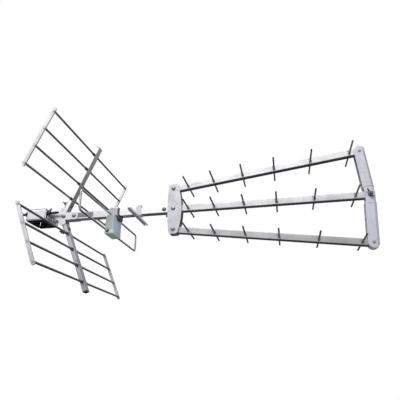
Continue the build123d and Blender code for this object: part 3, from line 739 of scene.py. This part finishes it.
plasticPattern = {
    "clouds": (40.0, 4.0, 0.6),
    "grain": (1500.0, 2.0, 0.6),
    "dust": (120.0, 4.0, 0.7),
    "darkRange": (0.35, 0.70),
    "dustRange": (0.55, 0.80),
    "dustShare": 0.4,
    "dustRoughness": 0.2,
    "grainRoughness": 0.06,
    "depth": 0.00006,
    "strength": 0.5,
}
palePlasticLook = {
    "light": (0.60, 0.70, 0.61),
    "dark": (0.48, 0.57, 0.49),
    "dust": (0.50, 0.53, 0.49),
    "roughness": 0.42,
}
whitePlasticLook = {
    "light": (0.93, 0.94, 0.92),
    "dark": (0.86, 0.87, 0.85),
    "dust": (0.66, 0.67, 0.64),
    "roughness": 0.40,
}
bluePlasticLook = {
    "light": (0.68, 0.80, 0.97),
    "dark": (0.56, 0.62, 0.80),
    "dust": (0.52, 0.60, 0.62),
    "roughness": 0.40,
}
blackPlasticLook = {
    "light": (0.035, 0.036, 0.038),
    "dark": (0.018, 0.018, 0.019),
    "dust": (0.10, 0.10, 0.10),
    "roughness": 0.50,
}


def makeMouldedPlastic(name, look):
    finish, pattern = newFinish(name), plasticPattern
    flat = finish.place()
    grain = finish.noise(flat, *pattern["grain"])
    dark = finish.between(finish.noise(flat, *pattern["clouds"]), *pattern["darkRange"])
    dust = finish.between(finish.noise(flat, *pattern["dust"]), *pattern["dustRange"])
    colour = finish.blend(dark, look["light"], look["dark"])
    colour = finish.blend(dust * pattern["dustShare"], colour, look["dust"])
    roughness = look["roughness"] + dust * pattern["dustRoughness"] + grain * pattern["grainRoughness"]
    normal = finish.bump(grain, pattern["depth"], pattern["strength"])
    return finish.coat(colour, 0.0, roughness, normal)


palePlastic = makeMouldedPlastic("palePlastic", palePlasticLook)
# A lighter copy of the pale plastic: painted light for the box's foot cap
paintedLitPlastic = makeMouldedPlastic("paintedLitPlastic", shaded(palePlasticLook, 1.45))
whitePlastic = makeMouldedPlastic("whitePlastic", whitePlasticLook)
bluePlastic = makeMouldedPlastic("bluePlastic", bluePlasticLook)
blackPlastic = makeMouldedPlastic("blackPlastic", blackPlasticLook)
greyPlastic = makeMouldedPlastic("greyPlastic", shaded(blackPlasticLook, 3.0))
print("finishes made")

finishOf = {  # the rest is plain zinc sheet
    "main_boom": mainTube,
    "middle_boom": tubeAlong,
    "upper_boom": tubeRising,
    "lower_boom": tubeFalling,
    "upper_arm": armRising,
    "lower_arm": armFalling,
    "upper_bar_near": barRising,
    "upper_bar_far": barRising,
    "lower_bar_near": barFalling,
    "lower_bar_far": barFalling,
    "upper_rods": reflectorRod,
    "lower_rods": reflectorRod,
    "folded_dipole": dipoleTube,
    "first_director": stripAcross,
    "first_director_clip": whitePlastic,
    "front_arm_upper": brightZinc,
    "front_arm_lower": paleZinc,
    "rear_bracket": bracketZinc,
    "bracket_spacers": blackPlastic,
    "hub_plate_near": litZinc,
    "hub_plate_far": litZinc,
    "clamp_bracket": clampZinc,
    "front_jaw": jawShadeSteel,
    "rear_jaw": jawShadeSteel,
    "end_caps": greyPlastic,
    "rod_bushes": greyPlastic,
    "dipole_saddle": saddleZinc,
    "dipole_box": palePlastic,
    "feed_terminals": brass,
    "rivets": litFastener,
    "saddle_screws": zincFastener,
}
for name, node in nodes.items():
    recoat(node, directorRod if name.startswith("director_") else finishOf.get(name, zincSheet))
print("finishes put on the parts")


# Fasteners, each modelled once on z = 0

threadShape = {
    "depth": 0.45,  # as a share of the pitch
    "ridge": 1.25,  # the ridge's own radius, as a share of that depth
    "steps": 18,
}
boltShape = {
    "radius": 3.0,
    "pitch": 1.0,
    "chamfer": 0.5,
    "point": 0.4,
    "plainEnd": 1.2,
    "bite": 0.1,  # how far a nut's bore is inside the bolt's radius
    "play": 0.2,  # how far a washer's is outside it
}


def addThread(core, name, radius, pitch, start, end):  # one ridge wound round a plain rod
    ridgeRadius = threadShape["depth"] * pitch * threadShape["ridge"]
    ridge = startPiece(
        name + "Ridge",
        bpy.ops.mesh.primitive_circle_add,
        vertices=3,
        radius=ridgeRadius * mm,
        location=((radius - ridgeRadius) * mm, 0, start * mm),
        rotation=(math.radians(90), math.radians(90), 0),
    )
    addModifier(
        ridge,
        "SCREW",
        angle=2 * math.pi,
        screw_offset=pitch * mm,
        iterations=int((end - start) / pitch),
        steps=threadShape["steps"],
        render_steps=threadShape["steps"],
        axis="Z",
        use_merge_vertices=False,
    )
    return joinPieces(core, ridge)


def makeThreadedRod(name, length):
    radius, pitch = boltShape["radius"], boltShape["pitch"]
    core = startCylinder(name, radius - threadShape["depth"] * pitch, length, sides=32)
    startEdit(core)
    pickFaces(core, atEnds)
    inset(boltShape["chamfer"])
    resize(1, 1, 1 + 2 * boltShape["point"] / length, (0, 0, length / 2))
    endEdit()
    settle(core, zincFastener)
    plainEnd = boltShape["plainEnd"]
    return addThread(core, name, radius, pitch, plainEnd, length - plainEnd)


nutShape = {"flats": 10.0, "height": 5.0, "chamfer": 0.45, "chamferInside": 0.06, "edge": 0.14}


def makeHexNut():
    flat = nutShape["flats"] / 2
    height, chamfer = nutShape["height"], nutShape["chamfer"]
    corner = flat / math.cos(math.radians(30))
    ring = flat - nutShape["chamferInside"]
    nut = startCylinder("hexNut", corner, height - 2 * chamfer, foot=chamfer)
    startEdit(nut)
    pickFaces(nut, atEnds)
    inset(corner - ring)
    resize(1, 1, height / (height - 2 * chamfer), (0, 0, height / 2))
    makeBore(nut, boltShape["radius"] - boltShape["bite"], ring)
    for index in range(6):
        turn = math.radians(60 * index)
        away = Vector((math.cos(turn), math.sin(turn), 0))
        bpy.ops.mesh.select_all(action="SELECT")
        bpy.ops.mesh.bisect(plane_co=away * flat * mm, plane_no=away, use_fill=True, clear_outer=True)
    endEdit()
    softenEdges(nut, nutShape["edge"])
    return settle(nut, zincFastener)


washerShape = {"radius": 6.0, "thickness": 1.2, "edge": 0.22}


def makeWasher():
    ring = startCylinder("washer", washerShape["radius"], washerShape["thickness"])
    startEdit(ring)
    makeBore(ring, boltShape["radius"] + boltShape["play"], washerShape["radius"])
    endEdit()
    softenEdges(ring, washerShape["edge"], segments=3)
    return settle(ring, zincFastener)


headShape = {
    "radius": 5.2,
    "height": 3.4,
    "rim": 0.7,
    "arc": 82.0,  # how far round the dome goes towards its top
    "steps": 7,
    "edge": 0.18,
    "edgeAngle": 50.0,
}


def makeDomeHead():
    rim, steps = headShape["rim"], headShape["steps"]
    head = startCylinder("domeHead", headShape["radius"], rim)
    startEdit(head)
    pickFaces(head, onTop)
    angles = [math.radians(headShape["arc"] * index / steps) for index in range(steps + 1)]
    for before, after in zip(angles, angles[1:]):
        extrude(0, 0, (headShape["height"] - rim) * (math.sin(after) - math.sin(before)))
        share = math.cos(after) / math.cos(before)
        resize(share, share, 1, (0, 0, 0))
    endEdit()
    softenEdges(head, headShape["edge"], angle=headShape["edgeAngle"])
    return settle(head, zincFastener)


wingShape = {
    "hubRadius": 5.0,
    "hubHeight": 6.0,
    "facing": 0.9,  # the wings grow from the hub's faces whose normals have more than this along y
    "steps": [  # how far out and up, then the shares of width and height that it keeps
        (2.2, 0.9, 0.72, 0.84),
        (3.0, 2.4, 0.90, 0.95),
        (1.6, 1.3, 0.90, 0.72),
        (0.5, 0.4, 0.80, 0.60),
    ],
    "collar": 0.4,
    "collarShare": 0.86,
    "edge": 0.35,
    "edgeAngle": 38.0,
}


def makeWingNut():
    radius, height = wingShape["hubRadius"], wingShape["hubHeight"]
    nut = startCylinder("wingNut", radius, height, sides=16)
    startEdit(nut)
    for side in (near, far):
        pickFaces(nut, lambda middle, normal: normal.y * side > wingShape["facing"])
        outwards, upwards = radius, height / 2
        for out, rise, width, tall in wingShape["steps"]:
            outwards += out
            upwards += rise
            extrude(0, side * out, rise)
            resize(width, 1, tall, (0, side * outwards, upwards))
    pickFaces(nut, lambda middle, normal: onTop(middle, normal) and middle.xy.length < hair)
    share = wingShape["collarShare"]
    extrude(0, 0, wingShape["collar"])
    resize(share, share, 1, (0, 0, height))
    makeBore(nut, boltShape["radius"] - boltShape["bite"], radius * share)
    endEdit()
    softenEdges(nut, wingShape["edge"], angle=wingShape["edgeAngle"])
    addModifier(nut, "SUBSURF", levels=1, render_levels=1)
    return settle(nut, zincFastener)


hexNut = makeHexNut()
washer = makeWasher()
domeHead = makeDomeHead()
wingNut = makeWingNut()
print("fasteners modelled")


def handFastener(piece, body, node, finish):
    hand(recoat(piece, finish), body, "zinc_fastener", node)


def putBolt(name, place, length, node, finish=zincFastener):  # a dome head, its threaded shank below it
    shank = makeThreadedRod(name, length)
    shank.data.transform(place @ at(0, 0, -length))
    bolt = joinPieces(shank, copyTo(domeHead, name + "Head", place))
    handFastener(bolt, "aerial", node, finish)


def putPair(name, nut, place, body, node, finish=zincFastener):  # a washer, and a nut on it
    handFastener(copyTo(washer, name + "Washer", place), body, node, finish)
    above = place @ at(0, 0, washerShape["thickness"])
    handFastener(copyTo(nut, name, above), body, node, finish)


clampPlaces = {
    "boltAcross": 24.0,
    "boltLevel": 6.5,
    "boltRear": -45.5,
    "boltFront": 58.0,
    "jawWeb": -24.5,
    "flange": 29.0,
}


def fastenClamp():  # the bolts and the rear nuts go with the sliding jaw
    rear, front = clampPlaces["boltRear"], clampPlaces["boltFront"]
    level = clampPlaces["boltLevel"]
    for side, end in ((near, "near"), (far, "far")):
        y = side * clampPlaces["boltAcross"]
        rod = makeThreadedRod(f"clampBolt_{end}", front - rear)
        rod.data.transform(at(rear, y, level) @ turned(90, "Y"))
        handFastener(rod, "jaw", "clamp_bolts", shadedFastener)
        place = at(clampPlaces["jawWeb"], y, level) @ turned(-90, "Y")
        putPair(f"clampNut_{end}", hexNut, place, "jaw", "clamp_nuts", shadedFastener)
        place = at(clampPlaces["flange"], y, level) @ turned(90, "Y") @ turned(90, "Z")
        putPair(f"clampWing_{end}", wingNut, place, "aerial", "wing_nuts", shadedFastener)


throughPlaces = {"outside": 11.15, "spare": 1.5}  # where head and nut seat, and the shank past the nut


def boltThrough(kind, index, x, z, turn=0.0):  # head on the near side, nut on the far side
    outside = throughPlaces["outside"]
    length = 2 * outside + nutShape["height"] + throughPlaces["spare"]
    putBolt(f"{kind}Bolt_{index}", facing(near, x, outside, z), length, "cross_bolts", litFastener)
    nut = copyTo(hexNut, f"{kind}Nut_{index}", facing(far, x, outside, z) @ turned(turn, "Z"))
    handFastener(nut, "aerial", "cross_bolts", zincFastener)


hubPlaces = {"stations": (66.0, 94.0)}


def fastenHub():
    for index, x in enumerate(hubPlaces["stations"], 1):
        boltThrough("hub", index, x, 0)


seatPlaces = {"along": 35.0, "front": -3.8, "behind": 8.2, "shank": 23.2}


def fastenSeats():
    along = seatPlaces["along"]
    for side, end in ((1, "upper"), (-1, "lower")):
        place = onPanel(side, along, seatPlaces["front"]) @ turned(180, "X")
        putBolt(f"seatBolt_{end}", place, seatPlaces["shank"], "seat_bolts")
        place = onPanel(side, along, seatPlaces["behind"])
        putPair(f"seatWing_{end}", wingNut, place, "aerial", "wing_nuts")


bracketPlaces = {
    "x": 351.0,
    "levels": (52.2, 0.0, -52.2),
    "nutTurn": 20.0,  # how much further each nut is turned than the one above it
    "slipX": 328.0,
    "slipOutside": 9.0,
    "slipShank": 27.0,
}


def fastenBracket():
    for index, level in enumerate(bracketPlaces["levels"], 1):
        turn = bracketPlaces["nutTurn"] * (index - 1)
        boltThrough("bracket", index, bracketPlaces["x"], level, turn)
    x, outside = bracketPlaces["slipX"], bracketPlaces["slipOutside"]
    putBolt("slipBolt", facing(near, x, outside, 0), bracketPlaces["slipShank"], "cross_bolts")
    wing = copyTo(wingNut, "slipWing", facing(far, x, outside, 0))
    handFastener(wing, "aerial", "wing_nuts", zincFastener)


frontPlaces = {"x": 803.0, "outside": 10.75, "shank": 32.7, "wingTurn": 35.0}


def fastenFront():
    x, outside = frontPlaces["x"], frontPlaces["outside"]
    putBolt("frontBolt", facing(far, x, outside, 0), frontPlaces["shank"], "front_bolt")
    place = facing(near, x, outside, 0) @ turned(frontPlaces["wingTurn"], "Z")
    putPair("frontWing", wingNut, place, "aerial", "wing_nuts")


fastenClamp()
fastenHub()
fastenSeats()
fastenBracket()
fastenFront()
for model in (hexNut, washer, domeHead, wingNut):
    bpy.data.objects.remove(model)
print("bolts, nuts and washers in place")


# Dipole box and what holds it

lidShape = {
    "plate": 2.2,
    "cornerRadius": 3.0,
    "border": 2.6,
    "panelRise": 2.0,
    "panelFoot": 12.0,  # how high the tapered part of the raised panel reaches
    "panelTaper": 0.56,  # the panel's width at its foot, as a share
    "edge": 0.5,
    "edgeAngle": 25.0,
}


def makeLid():
    (_, y0, z0), (x1, y1, z1) = corners("dipole_lid")
    lid = startBlock("boxLid", (x1 - lidShape["plate"], y0, z0), (x1, y1, z1))
    startEdit(lid)
    pickEdges(lid, runsAlong(0))
    bevel(lidShape["cornerRadius"], segments=5)
    pickFaces(lid, lambda middle, normal: normal.x > square)
    inset(lidShape["border"])
    extrude(lidShape["panelRise"], 0, 0)
    foot = z0 + lidShape["panelFoot"]
    raised = x1 + hair
    pickEdges(lid, lambda start, end: max(start.z, end.z) < foot and min(start.x, end.x) > raised)
    resize(1, lidShape["panelTaper"], 1, (x1, (y0 + y1) / 2, z0))
    endEdit()
    softenEdges(lid, lidShape["edge"], segments=3, angle=lidShape["edgeAngle"])
    hand(settle(lid, bluePlastic), "aerial", "pale_plastic", "dipole_lid")


footShape = {"height": 8.6, "wall": 0.9, "lap": 0.7, "cornerRadius": 3.2, "lowerEdge": 0.5, "edge": 0.4}


def makeFoot():  # a moulded cap round the box's lower end
    low, high = corners("dipole_box")
    front = corners("dipole_lid")[1][0]
    wall, lap = footShape["wall"], footShape["lap"]
    z0, z1 = low[2] - lap, low[2] + footShape["height"]
    cap = startBlock("boxFoot", (low[0] - wall, low[1] - wall, z0), (front + wall, high[1] + wall, z1))
    startEdit(cap)
    pickEdges(cap, runsAlong(2))
    bevel(footShape["cornerRadius"], segments=5)
    pickFaces(cap, onTop)
    inset(wall)
    extrude(0, 0, -(z1 - z0 - lap))
    pickEdges(cap, lambda start, end: max(start.z, end.z) < z0 + hair)
    bevel(footShape["lowerEdge"], segments=3)
    endEdit()
    softenEdges(cap, footShape["edge"])
    hand(settle(cap, paintedLitPlastic), "aerial", "pale_plastic")


crownShape = {
    "end": 1.6,
    "half": 9.75,
    "base": 2.0,
    "earShare": 0.26,  # of the saddle's length, for each ear
    "ear": 3.6,
    "earTaper": (0.7, 0.8),
    "edge": 0.7,
}


def makeCrown():  # the raised ears on top of the saddle
    low, high = corners("dipole_saddle")
    x0, x1, z0 = low[0] + crownShape["end"], high[0] - crownShape["end"], high[2]
    half = crownShape["half"]
    ear = (x1 - x0) * crownShape["earShare"]
    crown = startBlock("saddleCrown", (x0, -half, z0), (x1, half, z0 + crownShape["base"]))
    startEdit(crown)
    for x in (x0 + ear, x1 - ear):
        bpy.ops.mesh.select_all(action="SELECT")
        bpy.ops.mesh.bisect(plane_co=(x * mm, 0, 0), plane_no=(1, 0, 0))
    for end in (x0, x1):
        pickFaces(crown, lambda middle, normal: onTop(middle, normal) and abs(middle.x - end) < ear)
        extrude(0, 0, crownShape["ear"])
        resize(*crownShape["earTaper"], 1, (end, 0, z0))
    endEdit()
    softenEdges(crown, crownShape["edge"], segments=3)
    hand(settle(crown, zincSheet), "aerial", "zinc_sheet")


wedgeShape = {
    "thin": 3.0,
    "step": -6.0,
    "corner": 4.0,
    "edge": 0.6,
    "passageHalf": 9.15,
    "passageLength": 20.0,
}


def makeWedge():  # the locking plate before the saddle, thin above and thick below
    low, high = corners("saddle_wedge")
    step = wedgeShape["step"]
    x0, x1 = low[0], low[0] + wedgeShape["thin"]
    wedge = startBlock("saddleWedge", (x0, low[1], step), (x1, high[1], high[2]))
    startEdit(wedge)
    pickFaces(wedge, lambda middle, normal: normal.z < -square)
    extrude(0, 0, low[2] - step)
    pickFaces(wedge, lambda middle, normal: normal.x > square and middle.z < step)
    extrude(high[0] - x1, 0, 0)
    outer = high[1] - hair
    crosswise = runsAlong(0)

    def isCorner(start, end):
        return crosswise(start, end) and abs(start.y) > outer and abs(start.z - step) > hair

    pickEdges(wedge, isCorner)
    bevel(wedgeShape["corner"], segments=1)
    endEdit()
    middle, reach = (low[0] + high[0]) / 2, wedgeShape["passageLength"] / 2
    half = wedgeShape["passageHalf"]
    passage = startBlock("boomPassage", (middle - reach, -half, -half), (middle + reach, half, half))
    addModifier(wedge, "BOOLEAN", operation="DIFFERENCE", object=passage)
    bpy.data.objects.remove(passage, do_unlink=True)
    softenEdges(wedge, wedgeShape["edge"])
    hand(settle(wedge, greyPlastic), "aerial", "dark_plastic", "saddle_wedge")


sleeveShape = {"radius": 4.3, "bore": 2.55, "height": 3.2, "lip": 0.9, "edge": 0.2}
sleevePlaces = {"x": 193.0, "z": -50.0, "outside": 25.9}


def makeSleeves():  # where the dipole's ends go into the box
    radius, height = sleeveShape["radius"], sleeveShape["height"]
    sleeve = startCylinder("dipoleSleeve", radius, height, sides=40)
    startEdit(sleeve)
    makeBore(sleeve, sleeveShape["bore"], radius)

    def isOuterRim(start, end):
        return min(start.z, end.z) > height - hair and start.xy.length > radius - hair

    pickEdges(sleeve, isOuterRim)
    bevel(sleeveShape["lip"], segments=4)
    endEdit()
    softenEdges(sleeve, sleeveShape["edge"])
    settle(sleeve, blackPlastic)
    for side, end in ((near, "near"), (far, "far")):
        place = facing(side, sleevePlaces["x"], sleevePlaces["outside"], sleevePlaces["z"])
        hand(copyTo(sleeve, f"dipoleSleeve_{end}", place), "aerial", "dark_plastic")
    bpy.data.objects.remove(sleeve)


socketShape = {
    "place": (186.0, 0.0, -26.0),
    "radius": 4.75,
    "wall": 1.1,
    "length": 11.0,
    "inside": 4.0,
    "pitch": 0.8,
    "threadFrom": 2.8,
    "plainEnd": 0.6,
    "edge": 0.2,
}
flangeShape = {"radius": 6.9, "height": 2.0, "border": 0.7, "rise": 0.4, "taper": 0.94, "edge": 0.16}
pinShape = {"radius": 0.5, "sunk": 2.0, "chamfer": 0.2, "point": 0.3}


def makeBarrel():
    length, inside, pitch = socketShape["length"], socketShape["inside"], socketShape["pitch"]
    radius = socketShape["radius"]
    core = radius - threadShape["depth"] * pitch
    barrel = startCylinder("socketBarrel", core, length + inside, foot=-inside)
    startEdit(barrel)
    pickFaces(barrel, onTop)
    inset(socketShape["wall"])
    extrude(0, 0, -length)
    endEdit()
    softenEdges(barrel, socketShape["edge"])
    settle(barrel, zincFastener)
    threadEnd = length - socketShape["plainEnd"]
    return addThread(barrel, "socketBarrel", radius, pitch, socketShape["threadFrom"], threadEnd)


def makeFlange():
    flange = startCylinder("socketFlange", flangeShape["radius"], flangeShape["height"], sides=6)
    startEdit(flange)
    pickFaces(flange, onTop)
    inset(flangeShape["border"])
    extrude(0, 0, flangeShape["rise"])
    resize(flangeShape["taper"], flangeShape["taper"], 1, (0, 0, flangeShape["height"]))
    endEdit()
    softenEdges(flange, flangeShape["edge"])
    return settle(flange, zincFastener)


def makePin():
    length = socketShape["length"] - pinShape["sunk"]
    pin = startCylinder("socketPin", pinShape["radius"], length, sides=20)
    startEdit(pin)
    pickFaces(pin, onTop)
    inset(pinShape["chamfer"])
    extrude(0, 0, pinShape["point"])
    endEdit()
    return settle(pin, brass)


def makeSocket():
    place = at(*socketShape["place"]) @ turned(-90, "Y")
    socket = joinPieces(makeBarrel(), makeFlange())
    socket.data.transform(place)
    hand(socket, "aerial", "zinc_fastener", "coax_socket")
    pin = makePin()
    pin.data.transform(place)
    hand(pin, "aerial", "terminal_brass", "coax_socket")


# Label plate, bare

plateShape = {
    "x": (104.6, 144.6),
    "z": (-5.6, 7.4),
    "back": -9.0,
    "thickness": 0.35,
    "cornerRadius": 1.4,
    "border": 0.6,
    "sunk": 0.08,
    "edge": 0.08,
}


def makePlate():
    (x0, x1), (z0, z1), back = plateShape["x"], plateShape["z"], plateShape["back"]
    plate = startBlock("labelPlate", (x0, back - plateShape["thickness"], z0), (x1, back, z1))
    startEdit(plate)
    pickEdges(plate, runsAlong(1))
    bevel(plateShape["cornerRadius"], segments=4)
    pickFaces(plate, lambda middle, normal: normal.y < -square)
    inset(plateShape["border"])
    extrude(0, plateShape["sunk"], 0)
    endEdit()
    softenEdges(plate, plateShape["edge"], segments=1)
    hand(settle(plate, greyPlate), "aerial", "alu_strip")


# Marks where the director booms are pressed onto their rods

crimpShape = {
    "radius": 2.3,
    "foot": 0.3,  # the straight part, before the taper
    "rise": 0.7,
    "taper": 0.72,
    "rim": 0.45,
    "dent": 0.5,
    "dentTaper": 0.5,
    "edge": 0.12,
}
crimpPlaces = {"above": 4.3, "aside": 2.6, "outside": 7.5, "rods": 6}
boomTilts = {"upper": outerBoomAngle, "middle": 0.0, "lower": -outerBoomAngle}


def makeCrimp():
    foot, taper, dentTaper = crimpShape["foot"], crimpShape["taper"], crimpShape["dentTaper"]
    mark = startCylinder("crimp", crimpShape["radius"], foot, sides=20)
    startEdit(mark)
    pickFaces(mark, onTop)
    extrude(0, 0, crimpShape["rise"] - foot)
    resize(taper, taper, 1, (0, 0, crimpShape["rise"]))
    inset(crimpShape["rim"])
    extrude(0, 0, -crimpShape["dent"])
    resize(dentTaper, dentTaper, 1, (0, 0, 0))
    endEdit()
    softenEdges(mark, crimpShape["edge"])
    return settle(mark, shadedPressing)


def pressCrimps():
    mark = makeCrimp()
    for level, tilt in boomTilts.items():
        for index in range(1, crimpPlaces["rods"] + 1):
            low, high = corners(f"director_{level}_{index}")
            x, z = (low[0] + high[0]) / 2, (low[2] + high[2]) / 2
            for side, end in ((near, "near"), (far, "far")):
                place = facing(side, x, crimpPlaces["outside"], z) @ turned(side * tilt, "Z")
                place = place @ at(-crimpPlaces["aside"], -side * crimpPlaces["above"], 0)
                piece = copyTo(mark, f"crimp_{level}_{index}_{end}", place)
                hand(piece, "aerial", "alu_tube")
    bpy.data.objects.remove(mark)


makeLid()
makeFoot()
makeCrown()
makeWedge()
makeSleeves()
makeSocket()
makePlate()
pressCrimps()
print("box, socket, plate and crimps made")
